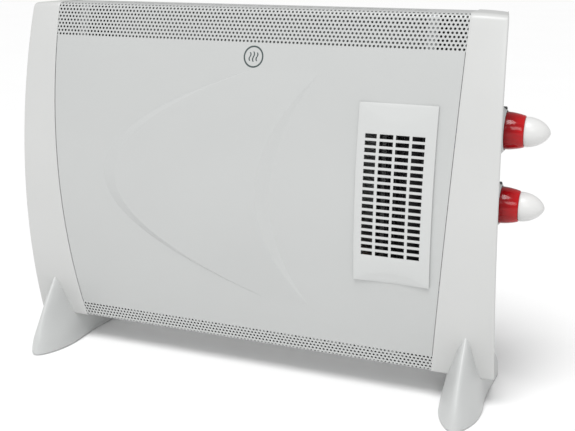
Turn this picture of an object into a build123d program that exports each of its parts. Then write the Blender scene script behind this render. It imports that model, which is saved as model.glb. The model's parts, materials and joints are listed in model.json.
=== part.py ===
# Floor-standing fan convector heater: bowed sheet-steel casing between two moulded end caps,
# fin-shaped feet, a tall blower grille, and two control knobs on the right end.
# Millimetres, +Z up, front towards -Y. The casing is symmetric about its own x = 0 plane;
# the whole model is moved by MODEL_SHIFT at the end, so that its box is centred on the origin.
from build123d import *
import os
from math import cos, sin, radians

os.makedirs("parts", exist_ok=True)

# ---------------------------------------------------------------- casing
CASE_BOTTOM = 37.0            # height of the casing's lower edge above the floor
CASE_HEIGHT = 400.0
CASE_TOP = CASE_BOTTOM + CASE_HEIGHT
CASE_MID = CASE_BOTTOM + CASE_HEIGHT / 2
BACK_Y = 57.0                 # flat back
SHEET = 0.8                   # steel thickness
BEND_R = 8.0                  # top and bottom bends of the front sheet
LIP = 12.0                    # return lips of the front sheet at the back
# bowed lines, each given by its value at the casing's top, middle and bottom
FRONT_Y = (7.6, -29.9, -7.6)  # front face
SEAM_X = (248.2, 242.4, 228.4)  # joint between sheet and end cap
END_X = (292.8, 294.6, 302.8)   # outer edge of an end cap
SEAM_GAP = 0.3

# ---------------------------------------------------------------- end caps
CAP_WALL = 2.5
CAP_PROUD = 1.0               # cap stands out from the sheet at the seam
CAP_TAPER = 12.0              # end wall leans inwards from front to back
CAP_EDGE_Y = -27.0
TONGUE = 8.0                  # spigot of the cap inside the sheet
TONGUE_WALL = 1.8
CAP_SCREW_Z = (90.0, 380.0)
SCREW_HOLE_R = 1.85

# ---------------------------------------------------------------- blower grille
GRILLE_X = (140.8, 226.6)
GRILLE_Z = (144.8, 343.4)
GRILLE_PROUD = 3.0
WINDOW_MARGIN = 5.0
SLOT_COLUMNS = ((149.4, 162.3), (165.5, 180.5), (183.3, 198.1), (201.1, 215.0))
SLOT_ROWS = 18
SLOT_TOP = 311.0
SLOT_PITCH = 7.66
SLOT_HEIGHT = 4.85

# ---------------------------------------------------------------- feet
FOOT_X = 268.0
FOOT_TOE = 4.0                # the tail lies further inwards than the nose
PAD_T = 3.0                   # rubber pads
PAD_OUT = 1.0                 # how far a pad stands below the foot
PAD_R = 8.0
PAD_Y = (-42.0, 62.0)
FOOT_SCREW_Y = (-2.0, 42.0)
# height, nose y, tail y, half-width at the shoulder, the middle and the tail
FOOT_SECTIONS = (
    (PAD_OUT, -73.0, 84.0, 19.5, 23.5, 29.0),
    (14.0, -70.5, 77.0, 17.5, 23.0, 29.0),
    (CASE_BOTTOM, -59.0, 63.0, 11.5, 19.5, 27.0),
    (60.0, -43.0, 50.0, 8.5, 12.0, 15.0),
    (92.0, -16.0, 45.0, 4.5, 5.0, 5.5),
)
FOOT_SHOULDER = 0.17          # place of the shoulder along the section

# ---------------------------------------------------------------- controls
KNOB_Y = 28.0
THERMOSTAT_Z = 314.0
SELECTOR_Z = 231.5
COLLAR_R = (25.0, 21.8)       # at the wall and at its rim
COLLAR_BORE_R = 20.9
COLLAR_DEPTH = 12.0           # from the rim back into the end wall
COLLAR_BEVEL = 3.0
COLLAR_RIM_X = 291.5
SKIRT_X = (290.2, 310.0)
SKIRT_R = (20.3, 16.8)
SKIRT_WALL = 1.6
TIP_X = 336.4
TIP_R = 16.3
HUB_R = 5.5
SPINDLE_R = 3.0
RUNNING = 0.05                # radial running clearance
BRACKET_X = 272.0
PLATE = 1.2                   # brackets

# ---------------------------------------------------------------- inside
BULKHEAD_X = 216.0
FAN_X = 183.5
FAN_Y = 16.0
FAN_R = 22.0
FAN_Z = (152.0, 334.0)
FAN_BLADES = 20
SHAFT_R = 2.5
MOTOR_Z = 116.0               # underside and thickness of the motor's stack
MOTOR_T = 20.0
ROTOR_R = 11.0
ELEMENT_Y = 20.0
ELEMENT_Z = (72.0, 90.0)
ELEMENT_END_X = 196.0
TUBE_R = 4.0
FIN_COUNT = 40
FIN_SIZE = (0.6, 42.0, 38.0)
BAFFLE_Y = 50.0
BLOCK_Z = 96.0
GLAND_X = 258.0
GLAND_Z = 108.0
GROMMET_Y = 34.0
GROMMET_Z = 120.0
VENT_Y = (18.0, 30.0, 42.0)    # slots in the top and bottom flanges
VENT_COUNT = 22
VENT_PITCH = 18.0
VENT_SIZE = (14.0, 4.0)
INTAKE_COUNT = 16             # slots in the back, behind the blower
INTAKE_PITCH = 10.0
INTAKE_SIZE = (48.0, 4.0)

MODEL_SHIFT = Pos(-18.2, -5.5, 0)
parts = {}


# ---------------------------------------------------------------- helpers
def bow(z, top, mid, bottom):
    """Value at height z of the shallow curve through three values."""
    t = (z - CASE_BOTTOM) / CASE_HEIGHT
    return bottom * (1 - t) * (1 - 2 * t) + mid * 4 * t * (1 - t) + top * t * (2 * t - 1)


def box(x, y, z):
    """Box between the two values of each pair."""
    size = [b - a for a, b in (x, y, z)]
    centre = [(a + b) / 2 for a, b in (x, y, z)]
    return Pos(*centre) * Box(*size)


def rod(start, direction, radius, length):
    """Cylinder from a point along a direction."""
    return extrude(Plane(origin=start, z_dir=direction) * Circle(radius), length)


def casing_section(inset=0.0, back=BACK_Y, bend=BEND_R):
    """Side view of the casing, every face moved inwards by inset except the back."""
    low, high = CASE_BOTTOM + inset, CASE_TOP - inset
    front = [(bow(z, *FRONT_Y) + inset, z) for z in (low, CASE_MID, high)]
    edges = ThreePointArc(*front) + Polyline(front[2], (back, high), (back, low), front[0])
    face = make_face(Plane.YZ * edges)
    return fillet(face.vertices().sort_by(Axis.Y)[:2], max(bend - inset, 0.5))


def slab(face, x0, x1):
    """A side-view face made solid from x0 to x1."""
    return Pos(x0, 0, 0) * extrude(face, x1 - x0, dir=(1, 0, 0))


def view_face(left, right, y):
    """Front-view face at depth y between two bowed edges."""
    heights = (CASE_BOTTOM - 10, CASE_MID, CASE_TOP + 10)
    a = [(bow(z, *left), z) for z in heights]
    b = [(bow(z, *right), z) for z in reversed(heights)]
    edges = ThreePointArc(*a) + Line(a[2], b[0]) + ThreePointArc(*b) + Line(b[2], a[0])
    return make_face(Plane.XZ.offset(-y) * edges)


def view_prism(left, right, y0=-60.0, y1=90.0):
    """Everything seen from the front between two bowed edges."""
    return extrude(view_face(left, right, y1), y1 - y0, dir=(0, -1, 0))


def moved(line, dx):
    return tuple(v + dx for v in line)


def mirrored(line):
    return tuple(-v for v in line)


def both_ends(solid):
    """A right-hand solid and its mirror image at the left end."""
    return [solid, mirror(solid, Plane.YZ)]


def group(solids):
    """Separate solids that share one node."""
    return Compound(children=list(solids))


def screw(point, direction, head_r=3.6, shank_r=1.8, length=9.0, head_h=2.2):
    """Pan-head screw whose head sits outside the point, its shank running along direction."""
    back = [p - head_h * d for p, d in zip(point, direction)]
    return rod(back, direction, head_r, head_h) + rod(point, direction, shank_r, length)


# ---------------------------------------------------------------- casing sheets
def front_panel():
    outer = casing_section(0, BACK_Y - SHEET)
    inner = casing_section(SHEET, BACK_Y - 2 * SHEET)
    edge = moved(SEAM_X, -SEAM_GAP)
    sheet = slab(outer - inner, -260, 260) & view_prism(mirrored(edge), edge)
    sheet -= box((-300, 300), (BACK_Y - 5, BACK_Y), (CASE_BOTTOM + LIP, CASE_TOP - LIP))
    window_x = (GRILLE_X[0] + WINDOW_MARGIN, GRILLE_X[1] - WINDOW_MARGIN)
    window_z = (GRILLE_Z[0] + WINDOW_MARGIN, GRILLE_Z[1] - WINDOW_MARGIN)
    sheet -= box(window_x, (-60, 0), window_z)
    vents = []
    for y in VENT_Y:
        for k in range(VENT_COUNT):
            x = (k - (VENT_COUNT - 1) / 2) * VENT_PITCH
            for z in (CASE_TOP, CASE_BOTTOM):
                vents.append(Pos(x, y, z) * Box(*VENT_SIZE, 4 * SHEET))
    return sheet.cut(*vents)


def rear_panel():
    edge = moved(SEAM_X, -SEAM_GAP)
    plate = box((-260, 260), (BACK_Y - SHEET, BACK_Y), (CASE_BOTTOM, CASE_TOP))
    plate &= view_prism(mirrored(edge), edge)
    intake = []
    for k in range(INTAKE_COUNT):
        z = FAN_Z[0] + 14 + INTAKE_PITCH * k
        intake.append(Pos(FAN_X, BACK_Y, z) * Box(INTAKE_SIZE[0], 4 * SHEET, INTAKE_SIZE[1]))
    return plate.cut(*intake)


def bulkhead():
    """Steel end wall of the hot chamber, with its edge flange towards the middle."""
    wall = slab(casing_section(SHEET, BACK_Y - 2 * SHEET), BULKHEAD_X, BULKHEAD_X + PLATE)
    flange = casing_section(SHEET, BACK_Y - 2 * SHEET) - casing_section(2 * SHEET, BACK_Y - 3 * SHEET)
    wall += slab(flange, BULKHEAD_X - 10, BULKHEAD_X)
    wall -= box((BULKHEAD_X - 20, BULKHEAD_X + 5), (-60, 8), (CASE_BOTTOM, CASE_BOTTOM + 30))
    wall -= rod((BULKHEAD_X - 5, GROMMET_Y, GROMMET_Z), (1, 0, 0), 6, 20)
    return wall


# ---------------------------------------------------------------- end caps
def cap_block(inset=0.0, seam_shift=0.0):
    """Outer form of the right end cap, or the same form with every face moved inwards."""
    body = slab(casing_section(inset - CAP_PROUD, BACK_Y - inset), 200, 320)
    body &= view_prism(moved(SEAM_X, seam_shift), moved(END_X, 20))
    lean = CAP_TAPER / (BACK_Y - CAP_EDGE_Y)
    start = CAP_EDGE_Y - 20
    end_face = view_face(moved(END_X, -140), moved(END_X, 20 * lean - inset), start)
    return body & extrude(end_face, 120, dir=Vector(-lean, 1, 0).normalized())


def cap_shell():
    """Right end cap: hollow moulding open at the seam, with a spigot that enters the sheet."""
    shell = cap_block() - cap_block(CAP_WALL, -5.0)
    ring = casing_section(SHEET + 0.1, BACK_Y - 2 * SHEET - 0.1)
    ring -= casing_section(SHEET + 0.1 + TONGUE_WALL, BACK_Y - 2 * SHEET - 0.1 - TONGUE_WALL)
    spigot = slab(ring, 200, 260) & view_prism(moved(SEAM_X, -TONGUE), moved(SEAM_X, 6.0))
    shell += spigot
    for z in CAP_SCREW_Z:
        x = bow(z, *SEAM_X) - TONGUE / 2
        shell += rod((x, BACK_Y - 2 * SHEET - 0.1, z), (0, -1, 0), 3.6, 9)
    return shell


def rear_screw_points():
    """Places of the cap screws on the right half of the back."""
    return [(bow(z, *SEAM_X) - TONGUE / 2, BACK_Y, z) for z in CAP_SCREW_Z]


# ---------------------------------------------------------------- feet
def foot_section(z, nose, tail, shoulder, middle, end):
    """Plan outline of a foot at one height: a spline round the nose and a straight tail."""
    length = tail - nose
    half = [(end, tail), (middle, nose + 0.5 * length), (shoulder, nose + FOOT_SHOULDER * length)]
    curve = half + [(0, nose)] + [(-x, y) for x, y in reversed(half)]
    curve = [(x - FOOT_TOE * (y - nose) / length, y) for x, y in curve]
    edges = Spline(*curve) + Line(curve[-1], curve[0])
    return make_face(Plane.XY.offset(z) * edges)


def foot(cap_form):
    body = Pos(FOOT_X, 0, 0) * loft([foot_section(*row) for row in FOOT_SECTIONS])
    body -= cap_form
    body -= box((0, 400), (-100, 100), (CASE_BOTTOM + 60, CASE_TOP))
    body -= slab(casing_section(), 150, 240)
    for y in PAD_Y:
        body -= rod((FOOT_X, y, 0), (0, 0, 1), PAD_R, PAD_T)
    for y in FOOT_SCREW_Y:
        body -= rod((FOOT_X, y, 0), (0, 0, 1), 5.0, 24)
        body -= rod((FOOT_X, y, 0), (0, 0, 1), 2.1, 60)
    return body


# ---------------------------------------------------------------- blower grille
def fan_grille():
    """Moulded louvre plate that follows the bow, with a rim through the sheet's window."""
    solid = slab(casing_section(-GRILLE_PROUD) - casing_section(0), *GRILLE_X)
    plate = solid & box((0, 300), (-60, 0), GRILLE_Z)
    rim_x = (GRILLE_X[0] + WINDOW_MARGIN + 0.2, GRILLE_X[1] - WINDOW_MARGIN - 0.2)
    rim_z = (GRILLE_Z[0] + WINDOW_MARGIN + 0.2, GRILLE_Z[1] - WINDOW_MARGIN - 0.2)
    rim = slab(casing_section(-1) - casing_section(5), *rim_x) & box((0, 300), (-60, 0), rim_z)
    hollow = box((rim_x[0] + 2, rim_x[1] - 2), (-60, 0), (rim_z[0] + 2, rim_z[1] - 2))
    rim -= slab(casing_section(0), *rim_x) & hollow
    plate += rim
    slots = []
    for x0, x1 in SLOT_COLUMNS:
        for k in range(SLOT_ROWS):
            top = SLOT_TOP - SLOT_PITCH * k
            slots.append(box((x0, x1), (-60, 5), (top - SLOT_HEIGHT, top)))
    return plate.cut(*slots)


# ---------------------------------------------------------------- knobs and controls
def collar(z, cap_form):
    foot_x, rim_x = COLLAR_RIM_X - COLLAR_DEPTH, COLLAR_RIM_X
    profile = [(foot_x, 0), (foot_x, COLLAR_R[0]), (rim_x - COLLAR_BEVEL, COLLAR_R[0]),
               (rim_x, COLLAR_R[1]), (rim_x, 0)]
    cone = revolve(Plane.XY * make_face(Polyline(*profile, close=True)), Axis.X)
    cone -= rod((foot_x - 1, 0, 0), (1, 0, 0), COLLAR_BORE_R, COLLAR_DEPTH + 2)
    return Pos(0, KNOB_Y, z) * cone - cap_form


def knob_skirt(z):
    """Translucent cone with a hub that grips the spindle."""
    x0, x1 = SKIRT_X
    outer = [(x0, 0), (x0, SKIRT_R[0]), (x1, SKIRT_R[1]), (x1, 0)]
    inner = [(x0, 0), (x0, SKIRT_R[0] - SKIRT_WALL), (x1 - 3, SKIRT_R[1] - SKIRT_WALL), (x1 - 3, 0)]
    cone = revolve(Plane.XY * make_face(Polyline(*outer, close=True)), Axis.X)
    cone -= revolve(Plane.XY * make_face(Polyline(*inner, close=True)), Axis.X)
    cone += rod((x0 + 1, 0, 0), (1, 0, 0), HUB_R, x1 - x0 - 2)
    cone -= rod((x0 - 1, 0, 0), (1, 0, 0), SPINDLE_R, 13)
    return Pos(0, KNOB_Y, z) * cone


def knob_tip(z):
    """Bullet-shaped finger grip, hollow from behind."""
    x0 = SKIRT_X[1]
    length = TIP_X - x0
    curve = Spline((x0, TIP_R), (x0 + 0.55 * length, 0.72 * TIP_R), (TIP_X, 0),
                   tangents=((1, -0.12), (0, -1)))
    face = make_face(curve + Polyline((TIP_X, 0), (x0, 0), (x0, TIP_R)))
    tip = revolve(Plane.XY * face, Axis.X)
    return Pos(0, KNOB_Y, z) * (tip - rod((x0 - 1, 0, 0), (1, 0, 0), 9, 9))


def spindle(z):
    return rod((256, KNOB_Y, z), (1, 0, 0), SPINDLE_R, SKIRT_X[0] + 12 - 256)


def control_body(z, size, bush_end):
    """Moulded body of a rotary control with its threaded bush."""
    sx, sy, sz = size
    width = (KNOB_Y - sy / 2, KNOB_Y + sy / 2)
    body = box((BRACKET_X - sx, BRACKET_X), width, (z - sz / 2, z + sz / 2))
    body += rod((BRACKET_X, KNOB_Y, z), (1, 0, 0), 4.75, bush_end - BRACKET_X)
    for dy in (-sy / 3, 0, sy / 3):
        y = KNOB_Y + dy
        body += box((BRACKET_X - sx - 7, BRACKET_X - sx), (y - 3.15, y + 3.15), (z - 0.4, z + 0.4))
    return body - rod((250, KNOB_Y, z), (1, 0, 0), SPINDLE_R + RUNNING, 40)


def control_bracket():
    """Sheet bracket that carries both controls off the right bulkhead."""
    x0 = BULKHEAD_X + PLATE
    z0, z1 = SELECTOR_Z - 26, THERMOSTAT_Z + 26
    plate = box((BRACKET_X, BRACKET_X + PLATE), (10, 46), (z0, z1))
    for z in (z0, z1 - PLATE):
        plate += box((x0, BRACKET_X + PLATE), (10, 46), (z, z + PLATE))
    plate += box((x0, x0 + PLATE), (10, 46), (z0 - 12, z0 + PLATE))
    plate += box((x0, x0 + PLATE), (10, 46), (z1 - PLATE, z1 + 12))
    for z in (THERMOSTAT_Z, SELECTOR_Z):
        plate -= rod((BRACKET_X - 5, KNOB_Y, z), (1, 0, 0), 4.85, 12)
    return plate


def control_nut(z):
    nut = extrude(Plane.YZ.offset(BRACKET_X + PLATE) * RegularPolygon(7.5, 6), 3)
    return Pos(0, KNOB_Y, z) * (nut - rod((BRACKET_X, 0, 0), (1, 0, 0), 4.8, 10))


# ---------------------------------------------------------------- blower
def fan_plate(z, t=PLATE):
    """End plate of the blower housing."""
    return box((FAN_X - 31, FAN_X + 31), (-14, 50), (z, z + t))


def fan_housing():
    """Scroll wall, cut-off tongue and both end plates of the vertical blower."""
    z0, z1 = FAN_Z[0] - 5, FAN_Z[1] + 5
    height = z1 - z0
    ring = Circle(FAN_R + 5) - Circle(FAN_R + 4)
    arc = ring & Pos(30, -4) * Rectangle(60, 40)
    tongue = ring & Pos(-30, -9) * Rectangle(60, 8)
    scroll = extrude(Plane.XY.offset(z0) * (Pos(FAN_X, FAN_Y) * (arc + tongue)), height)
    scroll += box((FAN_X + 25.6, FAN_X + 26.6), (-13, FAN_Y - 6), (z0, z1))
    scroll += box((FAN_X - 26.6, FAN_X - 25.6), (-13, FAN_Y - 8), (z0, z1))
    scroll += fan_plate(z0 - PLATE) + fan_plate(z1)
    for z in (z0 - PLATE, z1):
        scroll -= rod((FAN_X, FAN_Y, z - 1), (0, 0, 1), 6.0, 4)
    return scroll


def fan_bearing(z):
    """Sintered bush, held in an end plate."""
    bush = rod((FAN_X, FAN_Y, z), (0, 0, 1), 6.0, PLATE) + rod((FAN_X, FAN_Y, z - 3), (0, 0, 1), 7.5, 3)
    return bush - rod((FAN_X, FAN_Y, z - 6), (0, 0, 1), SHAFT_R + RUNNING, 12)


def fan_drum():
    """Cross-flow rotor: curved blades between discs, with a hub at each end."""
    disc = rod((FAN_X, FAN_Y, 0), (0, 0, 1), FAN_R, 1.6)
    hub = rod((FAN_X, FAN_Y, 0), (0, 0, 1), 6, 6)
    z0, z1 = FAN_Z
    drum = Pos(0, 0, z0) * (disc + hub) + Pos(0, 0, z1 - 1.6) * disc + Pos(0, 0, z1 - 6) * hub
    drum += Pos(0, 0, (z0 + z1) / 2) * disc
    blade = Pos(FAN_R - 4, 0, 0) * Rot(0, 0, 35) * Box(6.4, 0.8, z1 - z0 - 2)
    for k in range(FAN_BLADES):
        drum += Pos(FAN_X, FAN_Y, (z0 + z1) / 2) * Rot(0, 0, 360 / FAN_BLADES * k) * blade
    return drum - rod((FAN_X, FAN_Y, z0 - 2), (0, 0, 1), SHAFT_R, z1 - z0 + 4)


def fan_shaft():
    z0 = MOTOR_Z - 7
    return rod((FAN_X, FAN_Y, z0), (0, 0, 1), SHAFT_R, FAN_Z[1] + 12 - z0)


def motor_rotor():
    core = rod((FAN_X, FAN_Y, MOTOR_Z), (0, 0, 1), ROTOR_R, MOTOR_T)
    return core - rod((FAN_X, FAN_Y, MOTOR_Z - 1), (0, 0, 1), SHAFT_R, MOTOR_T + 2)


def motor_core():
    """Shaded-pole lamination stack: ring round the rotor and a leg through the coil."""
    z = (MOTOR_Z, MOTOR_Z + MOTOR_T)
    stack = box((FAN_X - 24, FAN_X + 24), (FAN_Y - 17, FAN_Y + 17), z)
    leg_x = (FAN_X - 58, FAN_X - 24)
    stack += box(leg_x, (FAN_Y - 17, FAN_Y - 8), z) + box(leg_x, (FAN_Y + 8, FAN_Y + 17), z)
    stack += box((FAN_X - 58, FAN_X - 48), (FAN_Y - 17, FAN_Y + 17), z)
    return stack - rod((FAN_X, FAN_Y, MOTOR_Z - 1), (0, 0, 1), ROTOR_R + 0.4, MOTOR_T + 2)


def motor_coil():
    z0, z1 = MOTOR_Z, MOTOR_Z + MOTOR_T
    coil = box((FAN_X - 63, FAN_X - 43), (FAN_Y - 7.5, FAN_Y + 7.5), (z0 - 7, z1 + 7))
    coil -= box((FAN_X - 58.05, FAN_X - 47.95), (FAN_Y - 8, FAN_Y + 8), (z0 - 0.05, z1 + 0.05))
    return coil


def motor_bridge(z):
    """Bearing strap across one face of the stack."""
    strap = box((FAN_X - 15, FAN_X + 15), (FAN_Y - 16, FAN_Y + 16), (z, z + 1.5))
    return strap - rod((FAN_X, FAN_Y, z - 1), (0, 0, 1), SHAFT_R + RUNNING, 4)


def motor_hanger():
    """Angle that hangs the motor from the blower housing."""
    z1 = FAN_Z[0] - 5 - PLATE
    z0 = MOTOR_Z + MOTOR_T
    hanger = box((FAN_X + 16, FAN_X + 24), (FAN_Y - 16, FAN_Y + 16), (z0, z0 + PLATE))
    hanger += box((FAN_X + 24 - PLATE, FAN_X + 24), (FAN_Y - 16, FAN_Y + 16), (z0, z1))
    return hanger + box((FAN_X + 12, FAN_X + 24), (FAN_Y - 16, FAN_Y + 16), (z1 - PLATE, z1))


# ---------------------------------------------------------------- heating element
def element_tube():
    z0, z1 = ELEMENT_Z
    r = (z1 - z0) / 2
    x = ELEMENT_END_X
    path = Line((x + 8, 0, z1), (-x, 0, z1))
    path += ThreePointArc((-x, 0, z1), (-x - r, 0, z0 + r), (-x, 0, z0))
    path += Line((-x, 0, z0), (x + 8, 0, z0))
    tube = sweep(Plane(origin=(x + 8, 0, z1), z_dir=(-1, 0, 0)) * Circle(TUBE_R), path)
    return Pos(0, ELEMENT_Y, 0) * tube


def element_fins():
    tools = [rod((-10, 0, z), (1, 0, 0), TUBE_R, 20) for z in ELEMENT_Z]
    mid_z = sum(ELEMENT_Z) / 2
    fin = Pos(0, 0, mid_z) * Box(*FIN_SIZE) - tools
    pitch = (2 * ELEMENT_END_X - 24) / (FIN_COUNT - 1)
    return group(Pos(-ELEMENT_END_X + 12 + pitch * k, ELEMENT_Y, 0) * fin for k in range(FIN_COUNT))


def element_bracket(x):
    """Sheet stand under one end of the element."""
    mid_z = sum(ELEMENT_Z) / 2
    sheet_z = CASE_BOTTOM + SHEET
    plate = box((x, x + PLATE), (ELEMENT_Y - 16, ELEMENT_Y + 16), (sheet_z, mid_z + 18))
    plate += box((x, x + 12), (ELEMENT_Y - 16, ELEMENT_Y + 16), (sheet_z, sheet_z + PLATE))
    for z in ELEMENT_Z:
        plate -= rod((x - 2, ELEMENT_Y, z), (1, 0, 0), TUBE_R, 6)
    return plate


def element_terminal(z):
    """Ceramic bead and contact pin at one end of the sheathed tube."""
    x = ELEMENT_END_X + 8
    return rod((x, ELEMENT_Y, z), (1, 0, 0), 3.2, 4) + rod((x, ELEMENT_Y, z), (1, 0, 0), 1.5, 7)


def heat_baffle():
    """Bright reflector sheet in front of the back panel, left of the blower."""
    x = (-205, FAN_X - 40)
    low, high = CASE_BOTTOM + 14, 320
    sheet = box(x, (BAFFLE_Y, BAFFLE_Y + 0.6), (low, high))
    sheet += box(x, (BAFFLE_Y - 9, BAFFLE_Y + 0.6), (high - 0.6, high))
    return sheet + box(x, (BAFFLE_Y, BACK_Y - SHEET), (low, low + 0.6))


def thermal_cutout():
    """Bimetal disc limiter on the baffle, above the element."""
    x, z = 60.0, 150.0
    body = rod((x, BAFFLE_Y, z), (0, -1, 0), 8, 7) + rod((x, BAFFLE_Y, z), (0, -1, 0), 11, 1)
    for dx in (-4.5, 4.5):
        body += box((x + dx - 3.15, x + dx + 3.15), (BAFFLE_Y - 15, BAFFLE_Y - 7), (z - 0.4, z + 0.4))
    return body


# ---------------------------------------------------------------- supply side
def terminal_block():
    x0 = BULKHEAD_X + PLATE
    block = box((x0, x0 + 16), (20, 46), (BLOCK_Z - 18, BLOCK_Z + 2))
    for y in (26.0, 33.0, 40.0):
        block -= rod((x0 + 10, y, BLOCK_Z - 4), (0, 0, 1), 2, 10)
    return block


def cable_gland():
    """Cable inlet bush through the back wall of the right cap."""
    bush = rod((GLAND_X, BACK_Y + 3, GLAND_Z), (0, -1, 0), 6.9, 14)
    bush += rod((GLAND_X, BACK_Y, GLAND_Z), (0, 1, 0), 9.5, 3)
    bush += rod((GLAND_X, BACK_Y - CAP_WALL - 2.5, GLAND_Z), (0, 1, 0), 9.0, 2.5)
    return bush - rod((GLAND_X, BACK_Y + 10, GLAND_Z), (0, -1, 0), 3.6, 40)


def wire_grommet():
    """Rubber ring, grooved round the edge of the bulkhead's wire hole."""
    ring = rod((-1.4, 0, 0), (1, 0, 0), 8, PLATE + 2.8) - rod((-5, 0, 0), (1, 0, 0), 4.6, 20)
    groove = rod((0, 0, 0), (1, 0, 0), 10, PLATE) - rod((0, 0, 0), (1, 0, 0), 6, PLATE)
    return Pos(BULKHEAD_X, GROMMET_Y, GROMMET_Z) * (ring - groove)


def wire(points, radius=1.2):
    """Insulated lead along straight runs joined by large arcs."""
    corners = [Vector(*p) for p in points]
    radii = []
    for a, b, c in zip(corners, corners[1:], corners[2:]):
        turn = (b - a).get_angle(c - b)
        shorter = min((b - a).length, (c - b).length)
        radii.append(0.45 * shorter / max(sin(radians(turn / 2)) / cos(radians(turn / 2)), 0.1))
    path = FilletPolyline(*corners, radius=radii)
    start = Plane(origin=corners[0], z_dir=corners[1] - corners[0])
    return sweep(start * Circle(radius), path)


# each lead's route, and its radius
WIRES = {
    "supply_wire": (((227.2, 33, 93), (227.2, 33, 112), (228, 38, 134), (229, 47, 158), (229, 50, 184),
                     (229.5, 49, 208), (231.5, 43, 225), (237.4, 38, 231.5)), 1.4),
    "element_wire": (((209.7, ELEMENT_Y, 91.9), (209.8, 21, 103), (208, 29, 114), (216, 34, 118),
                      (227, 32, 118), (238, 24, 123), (242, 12, 142), (243, 3, 170), (243, 2, 215),
                      (243, 2, 262), (242, 5, 292), (237, 12, 307), (239.4, 17.3, 314)), 1.2),
    "fan_wire": (((120.2, FAN_Y, 138), (111, 17, 138), (106, 27, 134), (112, 41, 128), (132, 47, 124),
                  (162, 48, 122), (194, 44, 122),
                  (216, 34, 121.8), (226, 31, 126), (231, 22, 142), (231.5, 10, 164), (232, 5, 187),
                  (231, 5, 206), (232, 11, 222), (237.4, 17.3, 231.5)), 1.2),
}

# ---------------------------------------------------------------- assembly
cap_form = cap_block()
right_cap = cap_shell()
screw_holes = [rod((x, BACK_Y + 2, z), (0, -1, 0), SCREW_HOLE_R, 14) for x, _, z in rear_screw_points()]
foot_holes = [rod((FOOT_X, y, CASE_BOTTOM - 5), (0, 0, 1), SCREW_HOLE_R, 12) for y in FOOT_SCREW_Y]
left_cap = mirror(right_cap.cut(*screw_holes, *foot_holes), Plane.YZ)
control_holes = [rod((280, KNOB_Y, z), (1, 0, 0), 7, 20) for z in (THERMOSTAT_Z, SELECTOR_Z)]
gland_hole = rod((GLAND_X, BACK_Y + 2, GLAND_Z), (0, -1, 0), 7.0, 8)
parts["right_end_cap"] = right_cap.cut(*screw_holes, *foot_holes, *control_holes, gland_hole)
parts["left_end_cap"] = left_cap

mirror_holes = [mirror(h, Plane.YZ) for h in screw_holes]
parts["front_panel"] = front_panel().cut(*screw_holes, *mirror_holes)
parts["rear_panel"] = rear_panel().cut(*screw_holes, *mirror_holes)
grille_notch = box((BULKHEAD_X - 12, BULKHEAD_X + 5), (-60, -12), (GRILLE_Z[0], GRILLE_Z[1]))
parts["right_bulkhead"] = bulkhead() - grille_notch
parts["left_bulkhead"] = mirror(bulkhead(), Plane.YZ)
cap_screws = [screw(p, (0, -1, 0)) for p in rear_screw_points()]
parts["cap_screws"] = group(s for c in cap_screws for s in both_ends(c))

right_foot = foot(cap_form)
parts["right_foot"] = right_foot
parts["left_foot"] = mirror(right_foot, Plane.YZ)
pads = [rod((FOOT_X, y, 0), (0, 0, 1), PAD_R, PAD_T) for y in PAD_Y]
parts["foot_pads"] = group(s for p in pads for s in both_ends(p))
foot_screws = [screw((FOOT_X, y, 24), (0, 0, 1), 4.5, 1.8, 18) for y in FOOT_SCREW_Y]
parts["foot_screws"] = group(s for f in foot_screws for s in both_ends(f))

parts["fan_grille"] = fan_grille()

parts["thermostat_collar"] = collar(THERMOSTAT_Z, cap_form)
parts["selector_collar"] = collar(SELECTOR_Z, cap_form)
for name, z in (("thermostat", THERMOSTAT_Z), ("selector", SELECTOR_Z)):
    parts[name + "_knob_skirt"] = knob_skirt(z)
    parts[name + "_knob_tip"] = knob_tip(z)
    parts[name + "_spindle"] = spindle(z)
parts["thermostat_body"] = control_body(THERMOSTAT_Z, (24, 32, 36), BRACKET_X + 9)
parts["selector_body"] = control_body(SELECTOR_Z, (26, 30, 30), BRACKET_X + 9)
parts["control_bracket"] = control_bracket()
parts["control_nuts"] = group(control_nut(z) for z in (THERMOSTAT_Z, SELECTOR_Z))

parts["fan_housing"] = fan_housing()
parts["fan_bearings"] = group([fan_bearing(FAN_Z[0] - 5 - PLATE), fan_bearing(FAN_Z[1] + 5)])
parts["fan_drum"] = fan_drum()
parts["fan_shaft"] = fan_shaft()
parts["motor_rotor"] = motor_rotor()
parts["motor_core"] = motor_core()
parts["motor_coil"] = motor_coil()
parts["motor_bridges"] = group([motor_bridge(MOTOR_Z - 1.5), motor_bridge(MOTOR_Z + MOTOR_T)])
parts["motor_hanger"] = motor_hanger()

parts["element_tube"] = element_tube()
parts["element_fins"] = element_fins()
stands = (2 - ELEMENT_END_X, ELEMENT_END_X - 4)
parts["element_brackets"] = group(element_bracket(x) for x in stands)
parts["element_terminals"] = group(element_terminal(z) for z in ELEMENT_Z)
parts["heat_baffle"] = heat_baffle()
parts["thermal_cutout"] = thermal_cutout()
parts["terminal_block"] = terminal_block()
parts["cable_gland"] = cable_gland()
parts["wire_grommet"] = wire_grommet()
for name, (points, radius) in WIRES.items():
    parts[name] = wire(points, radius)

whole = None
for name, solid in parts.items():
    placed = MODEL_SHIFT * solid
    export_step(placed, os.path.join("parts", name + ".step"))
    bounds = placed.bounding_box()
    whole = bounds if whole is None else whole.add(bounds)
print("overall", whole.min, whole.max)
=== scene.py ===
# %% [markdown]
# The heater's working model comes first: every hidden part, joint and size is already in it. This script
# only adds what the eye needs, in the same place and at the same size, so it starts by loading that frame.

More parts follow.
